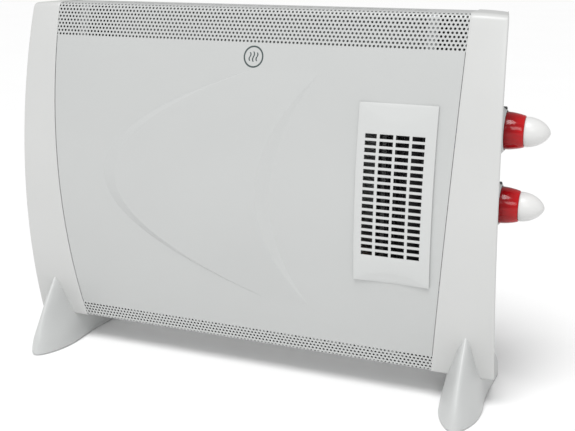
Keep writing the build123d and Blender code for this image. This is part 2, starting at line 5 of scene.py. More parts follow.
# %% Load the frame
import json
import math
import bmesh
import bpy
import numpy as np
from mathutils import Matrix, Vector


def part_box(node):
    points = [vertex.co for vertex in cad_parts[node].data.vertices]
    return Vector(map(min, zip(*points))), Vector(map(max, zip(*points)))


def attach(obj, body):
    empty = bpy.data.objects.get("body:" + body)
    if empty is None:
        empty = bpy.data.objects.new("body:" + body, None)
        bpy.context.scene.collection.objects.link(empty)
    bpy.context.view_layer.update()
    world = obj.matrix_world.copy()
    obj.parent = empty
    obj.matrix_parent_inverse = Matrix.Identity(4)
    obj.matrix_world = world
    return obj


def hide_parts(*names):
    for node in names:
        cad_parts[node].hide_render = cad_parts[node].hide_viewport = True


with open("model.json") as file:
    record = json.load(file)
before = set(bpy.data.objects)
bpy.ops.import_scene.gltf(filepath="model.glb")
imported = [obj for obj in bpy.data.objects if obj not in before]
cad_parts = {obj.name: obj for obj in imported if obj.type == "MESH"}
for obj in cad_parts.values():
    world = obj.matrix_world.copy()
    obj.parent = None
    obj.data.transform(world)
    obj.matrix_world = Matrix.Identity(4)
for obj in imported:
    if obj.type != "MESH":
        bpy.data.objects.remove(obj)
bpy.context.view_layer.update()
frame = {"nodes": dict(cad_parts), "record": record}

# %% [markdown]
# A few sizes steer everything: where the casing's middle, top, bottom and flat back are. They are read from
# the frame. The bowed lines of the casing are written as three values each, at the top, middle and bottom.

# %% Driving sizes, in metres
sheet_low, sheet_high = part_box("front_panel")
CASE_X = (sheet_low[0] + sheet_high[0]) / 2
TOP, BOTTOM = sheet_high[2], sheet_low[2]
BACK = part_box("rear_panel")[1][1]
SHEET = 0.0008
FRONT_DEPTH = (0.0494, 0.0869, 0.0646)
SEAM = (0.2482, 0.2424, 0.2284)
END = (0.2928, 0.2946, 0.3028)
MM = 0.001
WELD = 0.01 * MM


def bow(z, top, middle, bottom):
    """Value at height z of the shallow curve through three values."""
    t = (z - BOTTOM) / (TOP - BOTTOM)
    return bottom * (1 - t) * (1 - 2 * t) + middle * 4 * t * (1 - t) + top * t * (2 * t - 1)


def front_y(z):
    """Depth of the bowed front face at height z."""
    return BACK - bow(z, *FRONT_DEPTH)


print("casing centre", round(CASE_X, 4), "back", round(BACK, 4))
print("heights", round(BOTTOM, 4), round(TOP, 4))

# %% [markdown]
# Modelling by hand is a loop of the same moves: add a primitive, enter edit mode, pick some faces or edges,
# change them, leave. These helpers are those moves. Picking is done by place, because there is no mouse.

# %% Modelling helpers


def select_none():
    if bpy.context.object and bpy.context.object.mode != "OBJECT":
        bpy.ops.object.mode_set(mode="OBJECT")
    bpy.ops.object.select_all(action="DESELECT")


def focus(obj):
    select_none()
    obj.select_set(True)
    bpy.context.view_layer.objects.active = obj


def edit():
    bpy.ops.object.mode_set(mode="EDIT")


def leave():
    bpy.ops.object.mode_set(mode="OBJECT")


def pick(kind, test):
    """In edit mode, selects the verts, edges or faces whose middle passes the test."""
    obj = bpy.context.object
    bpy.ops.mesh.select_all(action="DESELECT")
    bpy.ops.mesh.select_mode(type={"verts": "VERT", "edges": "EDGE", "faces": "FACE"}[kind])
    mesh = bmesh.from_edit_mesh(obj.data)
    for item in getattr(mesh, kind):
        if kind == "verts":
            middle = item.co
        elif kind == "edges":
            middle = (item.verts[0].co + item.verts[1].co) / 2
        else:
            middle = item.calc_center_median()
        if test(middle):
            item.select_set(True)
    mesh.select_flush_mode()
    bmesh.update_edit_mesh(obj.data)


def reshape(obj, rule):
    """Moves every vertex to where the rule says: the sculpting step of a regular form."""
    for vertex in obj.data.vertices:
        vertex.co = rule(vertex.co)
    obj.data.update()


def outward():
    """In edit mode, makes a closed mesh's faces agree, and turns them all if their volume is negative."""
    bpy.ops.mesh.select_all(action="SELECT")
    bpy.ops.mesh.normals_make_consistent(inside=False)
    if bmesh.from_edit_mesh(bpy.context.object.data).calc_volume(signed=True) < 0:
        bpy.ops.mesh.flip_normals()


def apply(obj, kind, **settings):
    """Adds one modifier with its settings and applies it."""
    focus(obj)
    modifier = obj.modifiers.new(kind.lower(), kind)
    for key, value in settings.items():
        setattr(modifier, key, value)
    bpy.ops.object.modifier_apply(modifier=modifier.name)


def array(obj, count, step):
    apply(obj, "ARRAY", count=count, use_relative_offset=False, use_constant_offset=True,
          constant_offset_displace=step, use_merge_vertices=True, merge_threshold=2e-5)


def smooth(obj, degrees=30):
    focus(obj)
    bpy.ops.object.shade_smooth_by_angle(angle=math.radians(degrees))


def join(objects):
    select_none()
    for obj in objects:
        obj.select_set(True)
    bpy.context.view_layer.objects.active = objects[0]
    bpy.ops.object.join()
    return objects[0]


def triangles(obj):
    return sum(len(p.vertices) - 2 for p in obj.data.polygons)


def settle(obj, name, body, material, replaced=()):
    """Names a finished piece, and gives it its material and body."""
    focus(obj)
    bpy.ops.object.transform_apply(location=True, rotation=True, scale=True)
    obj.name = name
    obj.data.name = name
    obj.data.materials.clear()
    obj.data.materials.append(material)
    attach(obj, body)
    if replaced:
        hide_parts(*replaced)
    print(name, triangles(obj), "triangles")


print("helpers ready")

# %% [markdown]
# Finishes are node graphs. To keep their maths readable, one small class wraps a socket so that Python's own
# operators add the Math nodes, and one method adds any other node.

# %% A small language for materials


class Value:
    """A socket that takes part in Python expressions."""

    def __init__(self, graph, socket):
        self.graph, self.socket = graph, socket

    def maths(self, operation, a, b=None):
        node = self.graph.tree.nodes.new("ShaderNodeMath")
        node.operation = operation
        for place, item in enumerate((a, b)):
            if item is None:
                continue
            if isinstance(item, Value):
                self.graph.tree.links.new(item.socket, node.inputs[place])
            else:
                node.inputs[place].default_value = item
        return Value(self.graph, node.outputs[0])

    def __add__(self, other):
        return self.maths("ADD", self, other)

    __radd__ = __add__

    def __sub__(self, other):
        return self.maths("SUBTRACT", self, other)

    def __mul__(self, other):
        return self.maths("MULTIPLY", self, other)

    def clamped(self):
        return self.maths("MAXIMUM", self.maths("MINIMUM", self, 1.0), 0.0)

    def wave(self, frequency):
        """0 to 1 and back, that many times per metre."""
        return self.maths("SINE", self * (2 * math.pi * frequency)) * 0.5 + 0.5


class Finish:
    """One material and its node graph."""

    def __init__(self, name):
        self.material = bpy.data.materials.new(name)
        self.material.use_nodes = True
        self.tree = self.material.node_tree
        self.shader = self.tree.nodes["Principled BSDF"]

    def plug(self, node, sockets):
        """Links or sets a node's sockets, named with underscores for spaces."""
        for key, value in sockets.items():
            socket = node.inputs[key.replace("_", " ")]
            if isinstance(value, Value):
                self.tree.links.new(value.socket, socket)
            else:
                socket.default_value = value

    def node(self, kind, **sockets):
        """Any node, with its sockets' values or links, for its first output."""
        node = self.tree.nodes.new("ShaderNode" + kind)
        self.plug(node, sockets)
        return Value(self, node.outputs[0])

    def place(self):
        return Value(self, self.tree.nodes.new("ShaderNodeTexCoord").outputs["Object"])

    def axis(self, place, letter):
        split = self.tree.nodes.new("ShaderNodeSeparateXYZ")
        self.tree.links.new(place.socket, split.inputs[0])
        return Value(self, split.outputs[letter])

    def noise(self, place, scale, detail=2.0, roughness=0.5):
        return self.node("TexNoise", Vector=place, Scale=scale, Detail=detail, Roughness=roughness)

    def stretched(self, place, scale):
        return self.node("Mapping", Vector=place, Scale=scale)

    def between(self, factor, low, high):
        """A colour between two colours."""
        mix = self.tree.nodes.new("ShaderNodeMix")
        mix.data_type = "RGBA"
        self.tree.links.new(factor.clamped().socket, mix.inputs[0])
        mix.inputs[6].default_value = (*low, 1.0)
        mix.inputs[7].default_value = (*high, 1.0)
        return Value(self, mix.outputs[2])

    def bump(self, height, strength, distance):
        return self.node("Bump", Height=height, Strength=strength, Distance=distance)

    def wire(self, **sockets):
        """Links or sets the shader's sockets, and gives the finished material."""
        self.plug(self.shader, sockets)
        return self.material


print("material tools ready")

# %% [markdown]
# The steel casing is sprayed with a satin cool-white enamel. Sprayed enamel is never quite flat: it has a
# faint orange-peel ripple of about a millimetre, a very slight drift in tone, and patches that are a little
# glossier. The mouldings beside it are a little lighter, with the fine grain of a spark-eroded mould.

# %% Enamel and moulded plastics


def enamel(name, colour):
    f = Finish(name)
    place = f.place()
    drift = f.noise(place, 9.0, 2.0)
    peel = f.noise(place, 900.0, 1.5)
    patches = f.noise(place, 40.0, 3.0)
    tone = f.between(drift, [c * 0.975 for c in colour], [min(c * 1.02, 1.0) for c in colour])
    return f.wire(Base_Color=tone, Roughness=0.30 + patches * 0.10, Coat_Weight=0.15, Coat_Roughness=0.18,
                  Normal=f.bump(peel, 0.10, 0.0004))


def moulding(name, colour, gloss, grain=1600.0, depth=0.12, shift=0.03):
    """Moulded plastic: gloss is the mean roughness."""
    f = Finish(name)
    place = f.place()
    drift = f.noise(place, 14.0, 2.0)
    eroded = f.noise(place, grain, 2.5, 0.6)
    handled = f.noise(place, 55.0, 4.0)
    tone = f.between(drift, [c * (1 - shift) for c in colour],
                     [min(c * (1 + shift), 1.0) for c in colour])
    return f.wire(Base_Color=tone, Roughness=(gloss - 0.05) + handled * 0.10,
                  Normal=f.bump(eroded, depth, 0.0002))


CASING = enamel("casing_enamel", (0.508, 0.518, 0.513))
GRILLE = moulding("grille_moulding", (0.565, 0.575, 0.570), 0.38)
CAP = moulding("cap_moulding", (0.572, 0.577, 0.570), 0.36)
FOOT = moulding("foot_moulding", (0.53, 0.54, 0.536), 0.36)
COLLAR = moulding("collar_moulding", (0.50, 0.515, 0.515), 0.40)
TIP = moulding("tip_moulding", (0.68, 0.68, 0.672), 0.34, 2200.0, 0.08, 0.015)
DARK = moulding("dark_moulding", (0.035, 0.035, 0.038), 0.45)
IVORY = moulding("ivory_moulding", (0.62, 0.58, 0.48), 0.42)
RUBBER = moulding("pad_rubber", (0.03, 0.03, 0.03), 0.75, 900.0, 0.4)
print("enamel and mouldings ready")

# %% [markdown]
# The knobs' red skirts are clear acrylic dyed deep red. Light goes some way in, so the finish mixes some
# transmission with a thin clear coat, and the colour is painted darker towards the base: painted shade.

# %% Dyed acrylic and printing ink


def dyed_acrylic(name, pale, shaded_base_red, base_x, length):
    f = Finish(name)
    place = f.place()
    along = (f.axis(place, "X") - base_x) * (1 / length)
    streaks = f.noise(f.stretched(place, (30.0, 260.0, 260.0)), 1.0, 2.0)
    # Painted shade: the colour runs darker towards the skirt's base.
    tone = f.between(along * 0.7 + streaks * 0.5, shaded_base_red, pale)
    return f.wire(Base_Color=tone, Roughness=0.10 + streaks * 0.06, Transmission_Weight=0.25, IOR=1.45,
                  Specular_IOR_Level=0.22, Coat_Weight=0.06, Coat_Roughness=0.05)


def ink(name, colour):
    f = Finish(name)
    grain = f.noise(f.place(), 1500.0, 3.0)
    tone = f.between(grain, [c * 0.85 for c in colour], [c * 1.2 for c in colour])
    return f.wire(Base_Color=tone, Roughness=0.45 + grain * 0.1)


skirt_low, skirt_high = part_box("thermostat_knob_skirt")
# The second red is painted shade, laid on towards the skirt's base.
ACRYLIC = dyed_acrylic("red_acrylic", (0.60, 0.010, 0.014), (0.15, 0.001, 0.004), skirt_low[0],
                       skirt_high[0] - skirt_low[0])
INK = ink("printing_ink", (0.055, 0.075, 0.075))
print("acrylic and ink ready")

# %% [markdown]
# Inside, the heater is sheet metal, wire and ceramic. Each has its own mark: rolled sheet has long streaks,
# a turned shaft has rings, laminations are stacked lines, a coil is a winding of round wires.

# %% Metals, windings and ceramic


def rolled(name, colour, rough, stretch=(8.0, 900.0, 900.0)):
    f = Finish(name)
    place = f.place()
    streak = f.noise(f.stretched(place, stretch), 1.0, 3.0)
    cloud = f.noise(place, 60.0, 3.0)
    tone = f.between(cloud * 0.6 + streak * 0.4, [c * 0.85 for c in colour],
                     [min(c * 1.1, 1.0) for c in colour])
    return f.wire(Base_Color=tone, Metallic=1.0, Roughness=rough + streak * 0.15,
                  Normal=f.bump(streak, 0.15, 0.0001))


def banded(name, dark, light, letter, frequency, metal, rough):
    """Fine even lines across one axis: stacked laminations or wound wire."""
    f = Finish(name)
    place = f.place()
    line = f.axis(place, letter).wave(frequency)
    worn = f.noise(place, 300.0, 3.0)
    return f.wire(Base_Color=f.between(line * 0.8 + worn * 0.2, dark, light), Metallic=metal,
                  Roughness=rough + worn * 0.1, Normal=f.bump(line, 0.6, 0.0002))


# The zinc sheet's colour is painted dark: painted shade for the unlit inside seen through the holes. Its
# streaks are the rolled sheet's own.
ZINC_IN_PAINTED_SHADE = rolled("zinc_sheet", (0.24, 0.245, 0.25), 0.45)
STEEL = rolled("bright_steel", (0.56, 0.56, 0.57), 0.22, (900.0, 900.0, 12.0))
ALUMINIUM = rolled("mill_aluminium", (0.80, 0.81, 0.82), 0.28)
BRASS = rolled("turned_brass", (0.72, 0.53, 0.25), 0.25)
CERAMIC = moulding("ceramic", (0.76, 0.73, 0.66), 0.60, 1200.0, 0.3)
LAMINATION = banded("laminations", (0.05, 0.055, 0.065), (0.20, 0.21, 0.23), "Z", 1600.0, 0.8, 0.40)
WINDING = banded("winding", (0.25, 0.07, 0.02), (0.70, 0.28, 0.10), "Z", 2000.0, 0.9, 0.28)
BROWN = moulding("brown_insulation", (0.16, 0.06, 0.03), 0.40, 700.0, 0.2)
BLUE = moulding("blue_insulation", (0.03, 0.09, 0.32), 0.40, 700.0, 0.2)
print("metals ready")

# %% Give the CAD nodes their finishes
FINISH_OF_SLOT = {
    "casing_enamel": CASING, "end_cap_plastic": CAP, "foot_plastic": FOOT, "grille_plastic": GRILLE,
    "collar_plastic": COLLAR, "red_plastic": ACRYLIC, "white_plastic": TIP, "dark_plastic": DARK,
    "terminal_plastic": IVORY, "pad_rubber": RUBBER, "zinc_sheet": ZINC_IN_PAINTED_SHADE, "steel": STEEL,
    "lamination": LAMINATION, "winding": WINDING, "aluminium_parts": ALUMINIUM, "brass_parts": BRASS,
    "ceramic_parts": CERAMIC, "wire_red": BROWN, "wire_blue": BLUE,
}
for part in frame["record"]["subparts"]:
    obj = frame["nodes"][part["node"]]
    obj.data.materials.clear()
    obj.data.materials.append(FINISH_OF_SLOT[part["material_slot"]])

# %% [markdown]
# The front sheet starts flat, as it does in the factory: blanked, perforated, then bent. Working flat, x is
# across and s is the distance along the sheet from the top lip, over the front, to the bottom lip. Only at
# the end is s turned into a place on the bent side view. That keeps every hole round on the sheet itself.

# %% The sheet's side view as a path
TOP_BEND_R, BOTTOM_BEND_R = 8 * MM, 3 * MM
LIP = 12 * MM
BEND_STEPS, FACE_STEPS = 16, 200
FACE_SPAN = slice(BEND_STEPS + 3, BEND_STEPS + 1 + FACE_STEPS)


def side_path():
    """Points (y, z) along the side view, from the top lip's edge to the bottom lip's."""
    edge = BACK - SHEET
    points = [(edge, TOP - LIP), (edge, TOP)]
    turns = []
    for level, sign, bend in ((TOP, 1, TOP_BEND_R), (BOTTOM, -1, BOTTOM_BEND_R)):
        z = level - sign * bend
        slope = (front_y(z + MM) - front_y(z - MM)) / (2 * MM)
        lean = math.hypot(1, slope)
        centre = (front_y(z) + bend * lean, z)
        end = math.atan2(slope / lean, -1 / lean) % (2 * math.pi)
        start = math.pi / 2 if sign > 0 else 3 * math.pi / 2
        angles = [start + (end - start) * k / BEND_STEPS for k in range(BEND_STEPS + 1)]
        turns.append([(centre[0] + bend * math.cos(a), centre[1] + bend * math.sin(a)) for a in angles])
    points += turns[0]
    z_first, z_last = turns[0][-1][1], turns[1][-1][1]
    points += [(front_y(z), z) for z in np.linspace(z_first, z_last, FACE_STEPS)[1:-1]]
    points += turns[1][::-1]
    return np.array(points + [(edge, BOTTOM), (edge, BOTTOM + LIP)])


PATH = side_path()
STEPS = np.hypot(*np.diff(PATH, axis=0).T)
ALONG = np.concatenate([[0], np.cumsum(STEPS)])


def bent(s):
    """(y, z) at distance s along the sheet."""
    return float(np.interp(s, ALONG, PATH[:, 0])), float(np.interp(s, ALONG, PATH[:, 1]))


def along_at(z):
    """Distance along the sheet at height z of the front face."""
    return float(np.interp(-z, -PATH[FACE_SPAN, 1], ALONG[FACE_SPAN]))


print("sheet length", round(ALONG[-1], 4))

# %% [markdown]
# One perforation is one small cell: a rectangle with a round hole. A cell is modelled once, then arrayed:
# into a row, into a pair of rows where the second is shifted by half a pitch, and into a band. The cell's
# top and bottom edges have a vertex in the middle, so the shifted rows still share their vertices.

# %% Perforated bands
PITCH, ROW, HOLE_R = 4.58 * MM, 4.26 * MM, 1.41 * MM
CELLS, HOLE_VERTICES = 110, 12
TOP_ROWS, BOTTOM_ROWS = 10, 6
TOP_BAND_END = along_at(BOTTOM + 362 * MM)
BOTTOM_BAND_START = along_at(BOTTOM + 20.5 * MM)
SLOT_CELLS, SLOT_PERIOD, SLOTS_ACROSS = 6, 8, 22
SLOT_LENGTH = 4 * MM
TOP_SLOTS_FROM, TOP_SLOTS_APART = 15 * MM, 9.5 * MM
LOW_SLOTS_FROM, LOW_SLOTS_APART = 44 * MM, 10 * MM
NEAR_SEAM = 0.21


def perforated_band(rows, start):
    bpy.ops.mesh.primitive_plane_add(size=1)
    band = bpy.context.object
    focus(band)
    edit()
    bpy.ops.mesh.select_all(action="SELECT")
    bpy.ops.transform.resize(value=(PITCH, ROW, 1))
    bpy.ops.mesh.subdivide(number_cuts=1)
    pick("verts", lambda c: c.length < 0.1 * MM)
    bpy.ops.mesh.delete(type="VERT")
    bpy.ops.mesh.primitive_circle_add(vertices=HOLE_VERTICES, radius=HOLE_R)
    bpy.ops.mesh.select_all(action="SELECT")
    bpy.ops.mesh.bridge_edge_loops()
    leave()
    array(band, CELLS, (PITCH, 0, 0))
    array(band, 2, (PITCH / 2, ROW, 0))
    array(band, rows // 2, (0, 2 * ROW, 0))
    shift = Vector((-CELLS * PITCH / 2 + PITCH / 4, start + ROW / 2, 0))
    reshape(band, lambda co: co + shift)
    return band


def face_one_way(obj):
    """Turns every face of a flat sheet the same way, down, so that bending it turns them outwards."""
    focus(obj)
    edit()
    bpy.ops.mesh.select_mode(type="FACE")
    bpy.ops.mesh.select_all(action="DESELECT")
    for face in bmesh.from_edit_mesh(obj.data).faces:
        face.select_set(face.normal.z > 0)
    bpy.ops.mesh.flip_normals()
    leave()


def extend(obj, borders):
    """Extrudes the border row of edges to each of the given distances in turn."""
    focus(obj)
    edit()
    for start, stop in zip(borders, borders[1:]):
        pick("edges", lambda c: abs(c.y - start) < 0.05 * MM)
        bpy.ops.mesh.extrude_region_move(TRANSFORM_OT_translate={"value": (0, stop - start, 0)})
    leave()


def cut_slots(obj, rows):
    """Deletes lattice faces to leave rows of slots in the flat top or bottom of the sheet."""
    half, lattice = PITCH / 2, SLOTS_ACROSS * SLOT_PERIOD
    focus(obj)
    edit()

    def in_slot(c):
        column = math.floor(c.x / half) + lattice // 2
        across = 0 <= column < lattice and column % SLOT_PERIOD < SLOT_CELLS
        return across and any(a < c.y < b for a, b in rows)

    pick("faces", in_slot)
    bpy.ops.mesh.delete(type="FACE")
    leave()


def trim_to_seam(obj, first, last, zones):
    """Bisects both ends of the flat sheet along the seam, a straight cut in each zone."""
    levels = np.linspace(first, last, zones + 1)
    focus(obj)
    edit()
    for side in (-1, 1):
        for a, b in zip(levels, levels[1:]):
            xa, xb = (side * bow(bent(s)[1], *SEAM) for s in (a, b))
            pick("faces", lambda c: a <= c.y <= b and side * c.x > NEAR_SEAM)
            bpy.ops.mesh.bisect(plane_co=(xa, a, 0), clear_outer=True, use_fill=False,
                                plane_no=(side * (b - a), -side * (xb - xa), 0))
    leave()


def slot_spans(first, apart, count):
    """Where each of a number of rows of slots starts and stops along the sheet."""
    return [(first + k * apart, first + SLOT_LENGTH + k * apart) for k in range(count)]


top_start = TOP_BAND_END - TOP_ROWS * ROW
top_band = perforated_band(TOP_ROWS, top_start)
print("top band", len(top_band.data.polygons), "faces from", round(top_start, 4))
top_slots = slot_spans(LIP + TOP_SLOTS_FROM, TOP_SLOTS_APART, 2)
extend(top_band, [top_start] + [v for pair in top_slots[::-1] for v in pair[::-1]] + [LIP, 0.0])
cut_slots(top_band, top_slots)
trim_to_seam(top_band, 0.0, TOP_BAND_END, 4)

bottom_band = perforated_band(BOTTOM_ROWS, BOTTOM_BAND_START)
bottom_end = BOTTOM_BAND_START + BOTTOM_ROWS * ROW
length = float(ALONG[-1])
low_slots = slot_spans(length - LIP - LOW_SLOTS_FROM, LOW_SLOTS_APART, 3)
extend(bottom_band, [bottom_end] + [v for pair in low_slots for v in pair] + [length - LIP, length])
cut_slots(bottom_band, low_slots)
trim_to_seam(bottom_band, BOTTOM_BAND_START, length, 6)
print("bottom band", len(bottom_band.data.polygons), "faces")

# %% [markdown]
# Between the bands the front carries a shallow pressed relief: a raised field bounded by two long crescents.
# Their edges are crisp, so the grid's columns are laid along the crescents instead of straight up the sheet,
# and the height changes only inside them.

# %% The pressed face between the bands
RELIEF = 3.6 * MM
CRESCENT_Z = BOTTOM + 199 * MM
CRESCENT_REACH = 135 * MM
CRESCENT_WIDTH, LEAST_WIDTH = 16 * MM, 2.5 * MM
WINDOW_X, WINDOW_INSET = (146 * MM, 221 * MM), 5 * MM
FACE_ROWS = 96


def fade(z):
    """1 at the crescents' middle, 0 at their tips."""
    return max(0.0, 1 - ((z - CRESCENT_Z) / CRESCENT_REACH) ** 2)


def crescent(z, left, bulge, lift):
    """Left edge of a crescent at height z, straight beyond its tips."""
    reach = max(-CRESCENT_REACH, min(CRESCENT_REACH, z - CRESCENT_Z - lift))
    return left + bulge * reach * reach


def first_crescent(z):
    return crescent(z, -177 * MM, 11.1, 4 * MM)


def second_crescent(z):
    return crescent(z, 23 * MM, 3.6, -4 * MM)


def spread(stops):
    """Places from (stop, cells before it) pairs."""
    places = [stops[0][0]]
    for (start, _), (stop, cells) in zip(stops, stops[1:]):
        places += [start + (stop - start) * (k + 1) / cells for k in range(cells)]
    return places


def columns(z):
    """The grid's column places at height z, from seam to seam."""
    seam, width = bow(z, *SEAM), max(CRESCENT_WIDTH * fade(z), LEAST_WIDTH)
    a, b = first_crescent(z), second_crescent(z)
    return spread([(-seam, 0), (a - MM, 14), (a, 1), (a + width, 5), (a + width + MM, 1), (b - MM, 26),
                   (b, 1), (b + width, 5), (b + width + MM, 1), (WINDOW_X[0], 8), (WINDOW_X[1], 4),
                   (seam, 4)])


def relief(x, z):
    width = max(CRESCENT_WIDTH * fade(z), 0.01 * MM)
    rise = min(1.0, max(0.0, (x - first_crescent(z)) / width))
    fall = min(1.0, max(0.0, (x - second_crescent(z)) / width))
    return RELIEF * fade(z) * (rise - fall)


COLUMN_COUNT = len(columns(CRESCENT_Z))
bpy.ops.mesh.primitive_grid_add(x_subdivisions=COLUMN_COUNT - 1, y_subdivisions=FACE_ROWS, size=1)
pressed = bpy.context.object


def lay_column(co):
    s = TOP_BAND_END + (0.5 - co.y) * (BOTTOM_BAND_START - TOP_BAND_END)
    z = bent(s)[1]
    x = columns(z)[round((co.x + 0.5) * (COLUMN_COUNT - 1))]
    return Vector((x, s, relief(x, z)))


reshape(pressed, lay_column)
grille_low, grille_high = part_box("fan_grille")
focus(pressed)
edit()
pick("faces", lambda c: WINDOW_X[0] < c.x < WINDOW_X[1]
     and grille_low[2] + WINDOW_INSET < bent(c.y)[1] < grille_high[2] - WINDOW_INSET)
bpy.ops.mesh.delete(type="FACE")
leave()
print("pressed face", len(pressed.data.polygons), "faces")

# %% Bend the sheet and give it its thickness


def bend_sheet(obj, degrees):
    face_one_way(obj)

    def place(co):
        y, z = bent(co.y)
        return Vector((co.x + CASE_X, y - co.z, z))

    reshape(obj, place)
    focus(obj)
    edit()
    bpy.ops.mesh.select_all(action="SELECT")
    bpy.ops.mesh.remove_doubles(threshold=WELD)
    leave()
    apply(obj, "SOLIDIFY", thickness=SHEET, offset=-1.0)
    smooth(obj, degrees)
    return obj


BEND_ANGLE, CREASE_ANGLE = 35, 2.5
islands = [bend_sheet(top_band, BEND_ANGLE), bend_sheet(pressed, CREASE_ANGLE),
           bend_sheet(bottom_band, BEND_ANGLE)]
front_normal = islands[1].data.polygons[0].normal
print("front faces look towards", [round(v, 2) for v in front_normal])
settle(join(islands), "front_sheet", "casing", CASING, ["front_panel"])

# %% [markdown]
# Four kinds of piece are left that are all stacks of rings: the caps, the feet, the knobs and the collars.
# A ring is extruded in unit steps, like a concertina, and then every ring gets its own place and outline.
# Doing the extrusions first and the shaping second keeps the mesh a tidy grid.

# %% Stacks of rings


def ring_stack(vertices, steps):
    """An open tube along x: rings of unit radius at x = 0, 1, 2 and so on."""
    select_none()
    bpy.ops.mesh.primitive_circle_add(vertices=vertices, radius=1, rotation=(0, math.pi / 2, 0))
    tube = bpy.context.object
    bpy.ops.object.transform_apply(location=True, rotation=True, scale=True)
    edit()
    bpy.ops.mesh.select_mode(type="EDGE")
    bpy.ops.mesh.select_all(action="SELECT")
    for _ in range(steps):
        bpy.ops.mesh.extrude_region_move(TRANSFORM_OT_translate={"value": (1, 0, 0)})
    leave()
    return tube


def turn_of(co, vertices):
    """Which vertex of its ring this is, counted from the ring's first direction."""
    return round(math.atan2(co.z, co.y) / (2 * math.pi) * vertices) % vertices


def close_poles(obj):
    """Merges what meets, such as the rings of no radius at a pole, and faces the surface outwards."""
    focus(obj)
    edit()
    bpy.ops.mesh.select_all(action="SELECT")
    bpy.ops.mesh.remove_doubles(threshold=WELD)
    outward()
    leave()


def natural(xs, ys, x):
    """Smooth curve through the points: natural cubic."""
    xs, ys = np.asarray(xs, float), np.asarray(ys, float)
    h, n = np.diff(xs), len(xs)
    a, b = np.eye(n), np.zeros(n)
    for i in range(1, n - 1):
        a[i, i - 1:i + 2] = h[i - 1], 2 * (h[i - 1] + h[i]), h[i]
        b[i] = 6 * ((ys[i + 1] - ys[i]) / h[i] - (ys[i] - ys[i - 1]) / h[i - 1])
    m = np.linalg.solve(a, b)
    i = min(max(int(np.searchsorted(xs, x)) - 1, 0), n - 2)
    p, q = xs[i + 1] - x, x - xs[i]
    return float((m[i] * p ** 3 + m[i + 1] * q ** 3) / (6 * h[i])
                 + (ys[i] / h[i] - m[i] * h[i] / 6) * p
                 + (ys[i + 1] / h[i] - m[i + 1] * h[i] / 6) * q)


print("ring tools ready")

# %% [markdown]
# The end caps are hollow mouldings that slip over the ends of the sheet. Their side view is the sheet's own,
# just under a millimetre larger, so a cap is a ring of that outline extruded from the seam to the end. The
# last rings shrink along a quarter circle, the moulded edge, and level rungs fill the end wall.

# %% The end caps' rings
CAP_PROUD, CAP_WALL, CAP_EDGE_R = 0.9 * MM, 1.6 * MM, 1.7 * MM
CAP_FALL, CAP_DROP, CAP_DROP_ZONE = 3.4 * MM, 2.0 * MM, 60 * MM
CAP_FALL_DEPTH = BACK + 35 * MM
CAP_LEAN, CAP_LEAN_FROM = 12 / 84, -33.5 * MM
CAP_GAP = 0.5 * MM


def cap_outline():
    """Front chain of the cap's side view, from bottom to top, with its inward normals."""
    front = PATH[2:-2][::-1]
    tangent = np.gradient(front, axis=0)
    tangent /= np.linalg.norm(tangent, axis=1)[:, None]
    inward = np.stack([tangent[:, 1], -tangent[:, 0]], axis=1)
    arc, last = BEND_STEPS + 1, len(front)
    chosen = [*range(0, arc, 2), *range(arc + 3, last - arc - 2, 5), *range(last - arc, last, 2)]
    return front[chosen] - inward[chosen] * CAP_PROUD, inward[chosen]


CHAIN, CHAIN_IN = cap_outline()
COUNT = len(CHAIN)
print("cap chain", COUNT, "points from", CHAIN[0].round(4), "to", CHAIN[-1].round(4))
CAP_RINGS = [("seam", 0.0, 0.8), ("seam", 0.25, 0.25), ("seam", 0.9, 0.0)]
CAP_RINGS += [("across", u, 0.0) for u in (0.10, 0.22, 0.36, 0.50, 0.64, 0.76, 0.86)]
CAP_RINGS += [("edge", 1 - math.sin(a), 1 - math.cos(a)) for a in np.radians((0, 18, 36, 54, 72, 90))]


def cap_point(step, turn):
    """Place of one vertex of the right cap: ring number and place round the ring."""
    kind, where, shrink = CAP_RINGS[step]
    inset = shrink * (CAP_EDGE_R if kind == "edge" else MM)
    if turn < COUNT:
        (y, z), (iy, iz) = CHAIN[turn], CHAIN_IN[turn]
    else:
        (y, z), (iy, iz) = (BACK, CHAIN[2 * COUNT - 1 - turn][1]), (-1, 0)
        end_on = (z - CHAIN[0][1]) / (CHAIN[-1][1] - CHAIN[0][1])
        iz = 1 if end_on < 0.001 else -1 if end_on > 0.999 else 0
    seam = bow(z, *SEAM) + CAP_GAP
    edge = bow(z, *END) - CAP_LEAN * (y - CAP_LEAN_FROM)
    x = {"seam": seam + where * MM,
         "across": seam + where * (edge - seam),
         "edge": edge - where * CAP_EDGE_R}[kind]
    u = (x - seam) / (edge - seam)
    y_fall = CAP_FALL * u * u if turn < COUNT else 0.0
    z_drop = CAP_DROP * u * u * max(0.0, (z - TOP + CAP_DROP_ZONE) / CAP_DROP_ZONE) ** 2
    y += iy * inset + y_fall * (BACK - y) / CAP_FALL_DEPTH
    return Vector((x, y, z + iz * inset - z_drop))


def rung_end(tube, step):
    """Bridges the front and the back chain of one end ring with level rungs."""
    focus(tube)
    edit()
    bpy.ops.mesh.select_mode(type="EDGE")
    bpy.ops.mesh.select_all(action="DESELECT")
    for e in bmesh.from_edit_mesh(tube.data).edges:
        in_front = [turn_of(v.co, 2 * COUNT) < COUNT for v in e.verts]
        e.select_set(all(abs(v.co.x - step) < 0.01 for v in e.verts) and in_front[0] == in_front[1])
    bpy.ops.mesh.bridge_edge_loops()
    leave()


def cap_form():
    """Right end cap as a closed form."""
    cap = ring_stack(2 * COUNT, len(CAP_RINGS) - 1)
    rung_end(cap, 0)
    rung_end(cap, len(CAP_RINGS) - 1)
    reshape(cap, lambda co: cap_point(round(co.x), turn_of(co, 2 * COUNT)))
    return cap


cap_master = cap_form()
print("cap skin", len(cap_master.data.polygons), "faces")

